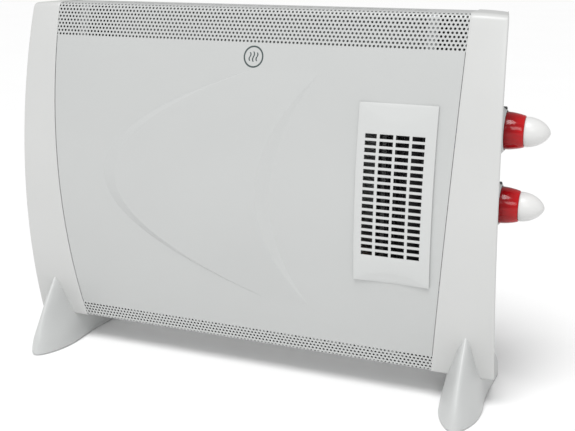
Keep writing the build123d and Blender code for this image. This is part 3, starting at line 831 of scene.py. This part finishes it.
# %% [markdown]
# Each cap starts closed at the seam, which tells Blender for certain which side is out, and a copy of that
# closed form is kept as a cutter, because the feet are fitted round the caps. Then the faces at the seam are
# deleted, the wall is thickened inwards, and the right cap is drilled for the two spindles.

# %% Close, hollow and drill the caps
skirt_box = {name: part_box(name + "_knob_skirt") for name in ("thermostat", "selector")}
KNOB_Y = (skirt_box["thermostat"][0][1] + skirt_box["thermostat"][1][1]) / 2
KNOB_Z = {name: (low[2] + high[2]) / 2 for name, (low, high) in skirt_box.items()}
SPINDLE_HOLE_R, SPINDLE_HOLE_X, SPINDLE_HOLE_DEPTH = 5 * MM, 292 * MM, 40 * MM


def separate_copy(obj, rule):
    """A copy with its own mesh, reshaped by the rule, with its faces turned outwards."""
    copy = obj.copy()
    copy.data = obj.data.copy()
    bpy.context.collection.objects.link(copy)
    reshape(copy, rule)
    close_poles(copy)
    return copy


cutters, caps = {}, {}
for side, word in ((1, "right"), (-1, "left")):
    cutters[word] = separate_copy(cap_master, lambda co: Vector((CASE_X + side * co.x, co.y, co.z)))
    caps[word] = separate_copy(cutters[word], lambda co: co)
    edit()
    pick("faces", lambda c: side * (c.x - CASE_X) < bow(c.z, *SEAM) + CAP_GAP + 0.06 * MM)
    bpy.ops.mesh.delete(type="FACE")
    leave()
    apply(caps[word], "SOLIDIFY", thickness=CAP_WALL, offset=-1.0)
for name, height in KNOB_Z.items():
    select_none()
    bpy.ops.mesh.primitive_cylinder_add(
        vertices=32, radius=SPINDLE_HOLE_R, depth=SPINDLE_HOLE_DEPTH,
        rotation=(0, math.pi / 2, 0), location=(CASE_X + SPINDLE_HOLE_X, KNOB_Y, height))
    drill = bpy.context.object
    apply(caps["right"], "BOOLEAN", operation="DIFFERENCE", solver="EXACT", object=drill)
    bpy.data.objects.remove(drill)
for word, cap in caps.items():
    smooth(cap, 32)
    settle(cap, word + "_cap", "casing", CAP, [word + "_end_cap"])
bpy.data.objects.remove(cap_master)

# %% [markdown]
# Each foot is a moulding shaped like a fin: a broad base, a keel-like nose, and sides that sweep up to a
# point on the front of the cap. Plan outlines at five heights describe it, and smooth curves through them
# give every ring between, as a lofted hull does. The cap's cutter then fits it to the cap.

# %% Feet
# Each row, in mm: height, nose, tail, and half widths at the shoulder, the middle and the tail.
FOOT_ROWS = ((1, -78.5, 78.5, 19.5, 23.5, 29), (14, -76, 71.5, 17.5, 23, 29),
             (37, -64.5, 57.5, 11.5, 19.5, 27), (60, -48.5, 44.5, 8.5, 12, 15),
             (92, -21.5, 39.5, 4.5, 5, 5.5))
FOOT_X, FOOT_STEPS, FOOT_TOP, FOOT_TOE = 0.268, 30, 92, 4
SHOULDER_AT, MIDDLE_AT, SIDES_SHARE = 0.17, 0.5, 0.82


def foot_outline(z, share):
    """Plan place at height z (mm), for a share of the way round from the tail's one corner to the other."""
    heights, *measures = zip(*FOOT_ROWS)
    nose, tail, shoulder, middle, end = (natural(heights, row, z) for row in measures)
    long = tail - nose
    half = [(end, tail), (middle, nose + MIDDLE_AT * long), (shoulder, nose + SHOULDER_AT * long)]
    points = half + [(0, nose)] + [(-x, y) for x, y in reversed(half)]
    chord = [0.0]
    for p, q in zip(points, points[1:]):
        chord.append(chord[-1] + math.dist(p, q))
    s = share * chord[-1]
    x, y = natural(chord, [p[0] for p in points], s), natural(chord, [p[1] for p in points], s)
    return x - FOOT_TOE * (y - nose) / long, y


def foot_form(vertices=72):
    foot = ring_stack(vertices, FOOT_STEPS)
    heights = [1, 1, 1.3, 2.0]
    heights += [2 + (FOOT_TOP - 2) * k / (FOOT_STEPS - 3) for k in range(1, FOOT_STEPS - 2)]
    shrinks = [1.0, 0.5, 0.1] + [0] * (FOOT_STEPS - 2)
    side_count = round(vertices * SIDES_SHARE)

    def place(co):
        step, turn = round(co.x), turn_of(co, vertices)
        z = heights[step]
        if turn <= side_count:
            x, y = foot_outline(z, turn / side_count)
        else:
            a, b = foot_outline(z, 0.0), foot_outline(z, 1.0)
            t = (turn - side_count) / (vertices - side_count)
            x, y = b[0] + (a[0] - b[0]) * t, b[1]
        nose, tail = foot_outline(z, 0.5)[1], foot_outline(z, 0.0)[1]
        centre = (nose + tail) / 2
        scale_x, scale_y = 1 - shrinks[step] / 24, 1 - shrinks[step] / 75
        return Vector((x * scale_x * MM, (centre + (y - centre) * scale_y) * MM, z * MM))

    reshape(foot, place)
    focus(foot)
    edit()
    for level in (1, FOOT_TOP):
        pick("edges", lambda c: abs(c.z - level * MM) < 0.05 * MM)
        bpy.ops.mesh.edge_face_add()
    leave()
    close_poles(foot)
    return foot


foot_master = foot_form()
print("foot", len(foot_master.data.polygons), "faces")
for side, word in ((1, "right"), (-1, "left")):
    foot = separate_copy(foot_master, lambda co: Vector((CASE_X + side * (FOOT_X + co.x), co.y, co.z)))
    apply(foot, "BOOLEAN", operation="DIFFERENCE", solver="EXACT", use_self=True, object=cutters[word])
    smooth(foot, 38)
    settle(foot, word + "_fin_foot", "casing", FOOT, [word + "_foot"])
    bpy.data.objects.remove(cutters[word])
bpy.data.objects.remove(foot_master)

# %% [markdown]
# The blower's grille is a plate that follows the bow of the sheet, three millimetres proud. Its grid lines
# are the edges of its slots, so the slots are simply deleted faces. At each end a shallow dish is scooped
# out, and the grid's rows bend to follow the dish's edge, which keeps that edge crisp.

# %% The grille
SLOT_COLUMNS = ((149.4, 162.3), (165.5, 180.5), (183.3, 198.1), (201.1, 215.0))
SLOT_ROWS, SLOT_TOP, SLOT_PITCH, SLOT_HEIGHT = 18, 0.311, 7.66 * MM, 4.85 * MM
DISH_TOP, DISH_BOTTOM, DISH_DEPTH = 19 * MM, 14 * MM, 2.3 * MM
PLATE_PROUD, PLATE_RIM, PLATE_WALL, EDGE_BEVEL = 3 * MM, 2.6 * MM, 1.3 * MM, 0.4 * MM
grille_x = (grille_low[0] - CASE_X, grille_high[0] - CASE_X)
grille_z = (grille_low[2], grille_high[2])


across = [(grille_x[0], 0)]
for a, b in SLOT_COLUMNS:
    across += [(a * MM, 2), (b * MM, 4)]
across = spread(across + [(grille_x[1], 3)])
slots_z = [(SLOT_TOP - SLOT_PITCH * k - SLOT_HEIGHT, SLOT_TOP - SLOT_PITCH * k)
           for k in reversed(range(SLOT_ROWS))]


def dish_edge(x, sag):
    """How far from the plate's end the dish reaches at x."""
    t = (x - sum(grille_x) / 2) / ((grille_x[1] - grille_x[0]) / 2)
    return max(sag * (1 - t * t), 0.6 * MM)


def up_the_plate(x):
    stops = [(grille_z[0], 0), (grille_z[0] + dish_edge(x, DISH_BOTTOM), 4)]
    for k, (low, high) in enumerate(slots_z):
        stops += [(low, 3 if k == 0 else 1), (high, 1)]
    return spread(stops + [(grille_z[1] - dish_edge(x, DISH_TOP), 3), (grille_z[1], 4)])


def scoop(x, z):
    depth = 0.0
    for gap, sag in ((z - grille_z[0], DISH_BOTTOM), (grille_z[1] - z, DISH_TOP)):
        reach = dish_edge(x, sag)
        depth += DISH_DEPTH * max(0.0, reach - gap) / sag
    return depth


ROWS_UP = len(up_the_plate(sum(grille_x) / 2))
select_none()
bpy.ops.mesh.primitive_grid_add(x_subdivisions=len(across) - 1, y_subdivisions=ROWS_UP - 1, size=1)
plate = bpy.context.object


def plate_point(co):
    x = across[round((co.x + 0.5) * (len(across) - 1))]
    z = up_the_plate(x)[round((co.y + 0.5) * (ROWS_UP - 1))]
    y = front_y(z) - (PLATE_PROUD - scoop(x, z))
    return Vector((x + CASE_X, y, z))


reshape(plate, plate_point)
focus(plate)
edit()
pick("faces", lambda c: any(a * MM < c.x - CASE_X < b * MM for a, b in SLOT_COLUMNS)
     and any(low < c.z < high for low, high in slots_z))
bpy.ops.mesh.delete(type="FACE")
mesh = bmesh.from_edit_mesh(plate.data)
if sum(f.normal.y for f in mesh.faces) > 0:
    bpy.ops.mesh.select_all(action="SELECT")
    bpy.ops.mesh.flip_normals()
pick("edges", lambda c: min(c.x - grille_low[0], grille_high[0] - c.x,
                            c.z - grille_z[0], grille_z[1] - c.z) < 0.01 * MM)
bpy.ops.mesh.extrude_region_move(TRANSFORM_OT_translate={"value": (0, PLATE_RIM, 0)})
leave()
apply(plate, "SOLIDIFY", thickness=PLATE_WALL, offset=-1.0, use_even_offset=False)
apply(plate, "BEVEL", width=EDGE_BEVEL, segments=2, limit_method="ANGLE", angle_limit=math.radians(50))
smooth(plate, 30)
settle(plate, "grille_plate", "casing", GRILLE, ["fan_grille"])

# %% [markdown]
# A knob has three turned parts: a grey collar fixed to the cap, a clear red skirt that turns inside it, and
# a satin white tip shaped like a bullet. Each is a stack of rings whose radii follow the profile, as on a
# lathe. The skirt is a real wall with flutes inside it, because its far side shows through.

# %% Turned parts


def turned(profile, centre, vertices=72, flutes=None):
    """Solid of revolution about a line along x. Profile: x from the casing's middle, radius, 1 if fluted."""
    form = ring_stack(vertices, len(profile) - 1)

    def place(co):
        x, radius = profile[round(co.x)][:2]
        angle = math.atan2(co.z, co.y)
        if flutes and len(profile[round(co.x)]) > 2:
            radius += flutes[1] * MM * math.cos(flutes[0] * angle)
        r = radius * MM
        return Vector((CASE_X + x * MM, centre[0] + r * math.cos(angle),
                       centre[1] + r * math.sin(angle)))

    reshape(form, place)
    close_poles(form)
    return form


def bullet(t):
    """Radius of the tip's profile, as a share of its base, at a share t of its length."""
    return (1 - t ** 2.05) ** 0.62


COLLAR_PROFILE = [(280, 20.9), (280, 25), (286.5, 25), (287.1, 24.8), (289.4, 22.3), (289.9, 21.8),
                  (290, 21.5), (290, 21.1), (289.8, 20.9), (280, 20.9)]
SKIRT_PROFILE = [(290.1, 18.6), (289.9, 18.9), (289.8, 19.5), (289.9, 20.0), (290.2, 20.3), (292, 20.25),
                 (296, 19.95), (300, 19.35), (304, 18.6), (308, 17.6), (309.2, 17.2), (309.8, 16.9),
                 (310, 16.4), (310, 5.5), (309, 5.5), (308, 15.2, 1), (304, 16.6, 1), (300, 17.4, 1),
                 (296, 18.0, 1), (290.1, 18.6)]
TIP_STEPS = (0.1, 0.2, 0.3, 0.4, 0.5, 0.6, 0.7, 0.78, 0.85, 0.91, 0.95, 0.98, 0.993)
TIP_PROFILE = [(310.1, 0), (310.1, 8), (310.1, 15.4), (310.3, 15.9), (310.8, 16.2)]
TIP_PROFILE += [(310.8 + 25.6 * t, 16.25 * bullet(t)) for t in TIP_STEPS] + [(336.4, 0)]
FLUTES = (18, 0.45)
for name, height in KNOB_Z.items():
    centre = (KNOB_Y, height)
    for label, profile, flutes, body, finish, slot in (
            ("collar", COLLAR_PROFILE, None, "casing", COLLAR, "collar_plastic"),
            ("knob_skirt", SKIRT_PROFILE, FLUTES, name + "_knob", ACRYLIC, "red_plastic"),
            ("knob_tip", TIP_PROFILE, None, name + "_knob", TIP, "white_plastic")):
        form = turned(profile, centre, 144 if flutes else 72, flutes)
        smooth(form, 40)
        settle(form, name + "_turned_" + label, body, finish, [name + "_" + label])

# %% Index marks
INDEX_SIZE, INDEX_X, INDEX_UP, INDEX_TOP = (0.0052, 0.0032, 0.0026), 0.2876, 0.0245, 0.0253
for name, height in KNOB_Z.items():
    select_none()
    bpy.ops.mesh.primitive_cube_add(size=1, location=(CASE_X + INDEX_X, KNOB_Y, height + INDEX_UP))
    mark = bpy.context.object
    mark.scale = INDEX_SIZE
    bpy.ops.object.transform_apply(location=True, rotation=True, scale=True)
    edit()
    pick("faces", lambda c: c.z > height + INDEX_TOP)
    bpy.ops.transform.resize(value=(0.7, 0.6, 1))
    leave()
    apply(mark, "BEVEL", width=EDGE_BEVEL, segments=2)
    smooth(mark, 40)
    settle(mark, name + "_index_mark", "casing", DARK)

# %% [markdown]
# High on the sheet is a small printed mark. It is a plain ring with three rising waves, the usual generic
# sign for warm air, printed as a film of ink about a tenth of a millimetre thick that follows the sheet.

# %% The printed mark
MARK_X, MARK_Z, MARK_R, MARK_LINE = 12.4 * MM, BOTTOM + 347.4 * MM, 12 * MM, 1.8 * MM
WAVE_GAP, WAVE_HEIGHT, WAVE_SHORTER, WAVE_LINE, WAVE_SWING = 4.2, 11.0, 1.6, 1.5 * MM, 0.9 * MM
INK_FILM, INK_PROUD = 0.12 * MM, 0.03 * MM
parts = []
select_none()
bpy.ops.mesh.primitive_circle_add(vertices=72, radius=MARK_R)
ring = bpy.context.object
edit()
bpy.ops.mesh.select_mode(type="EDGE")
bpy.ops.mesh.select_all(action="SELECT")
bpy.ops.mesh.extrude_region_move()
bpy.ops.transform.resize(value=((MARK_R - MARK_LINE) / MARK_R,) * 2 + (1,))
leave()
parts.append(ring)
for offset in (-WAVE_GAP, 0.0, WAVE_GAP):
    select_none()
    bpy.ops.mesh.primitive_grid_add(x_subdivisions=1, y_subdivisions=20, size=1)
    wave = bpy.context.object
    high = WAVE_HEIGHT - WAVE_SHORTER * abs(offset) / WAVE_GAP
    reshape(wave, lambda co: Vector((
        offset * MM + WAVE_LINE * co.x + WAVE_SWING * math.sin(co.y * 2 * math.pi),
        high * MM * co.y, 0)))
    parts.append(wave)
mark = join(parts)
face_one_way(mark)


def onto_sheet(co):
    z = MARK_Z + co.y
    return Vector((CASE_X + MARK_X + co.x, front_y(z) - INK_PROUD, z))


reshape(mark, onto_sheet)
apply(mark, "SOLIDIFY", thickness=INK_FILM, offset=1.0)
smooth(mark, 30)
settle(mark, "printed_mark", "casing", INK)

# %% [markdown]
# The stage is a plain pale floor that runs out of sight. Soft light comes from all round, even daylight from
# overhead, and a little more from a large soft lamp to the right and above. The camera stands to the right of
# the heater and looks slightly down, with a long lens.

# %% Floor, lights and camera
select_none()
bpy.ops.mesh.primitive_plane_add(size=60)
floor = bpy.context.object
floor.name = "floor"
paper = Finish("floor")
grain = paper.noise(paper.place(), 3.0, 2.0)
paper_tone = paper.between(grain, (0.93, 0.93, 0.93), (0.95, 0.95, 0.95))
floor.data.materials.append(paper.wire(Base_Color=paper_tone, Roughness=0.9))


def lamp(name, place, target, size, strength):
    """A square softbox when size is in metres; strength in watts."""
    data = bpy.data.lights.new(name, "AREA")
    data.shape, data.size, data.energy = "SQUARE", size, strength
    light = bpy.data.objects.new(name, data)
    bpy.context.collection.objects.link(light)
    light.location = place
    light.rotation_euler = (Vector(target) - Vector(place)).to_track_quat("-Z", "Y").to_euler()


def daylight(name, towards, strength, softness):
    """A sun seen through a great diffuser: even over the whole floor."""
    data = bpy.data.lights.new(name, "SUN")
    data.energy, data.angle = strength, math.radians(softness)
    light = bpy.data.objects.new(name, data)
    bpy.context.collection.objects.link(light)
    light.rotation_euler = Vector(towards).to_track_quat("-Z", "Y").to_euler()


MIDDLE = (0, 0, 0.22)
daylight("overhead", (0.06, 0.43, -0.90), 2.2, 30)
lamp("key", (1.0, -2.1, 1.5), MIDDLE, 0.8, 11)
world = bpy.data.worlds.new("studio")
bpy.context.scene.world = world
world.use_nodes = True
world.node_tree.nodes["Background"].inputs["Color"].default_value = (1, 1, 1, 1)
world.node_tree.nodes["Background"].inputs["Strength"].default_value = 0.44
bpy.context.scene.view_settings.view_transform = "Standard"
camera_data = bpy.data.cameras.new("camera")
camera_data.lens, camera_data.sensor_width = 57.6, 36
camera = bpy.data.objects.new("camera", camera_data)
bpy.context.collection.objects.link(camera)
camera.location = (0.4037, -0.9658, 0.5080)
camera.rotation_euler = (math.radians(73.4), 0, math.radians(21.17))
bpy.context.scene.camera = camera
print("stage ready")
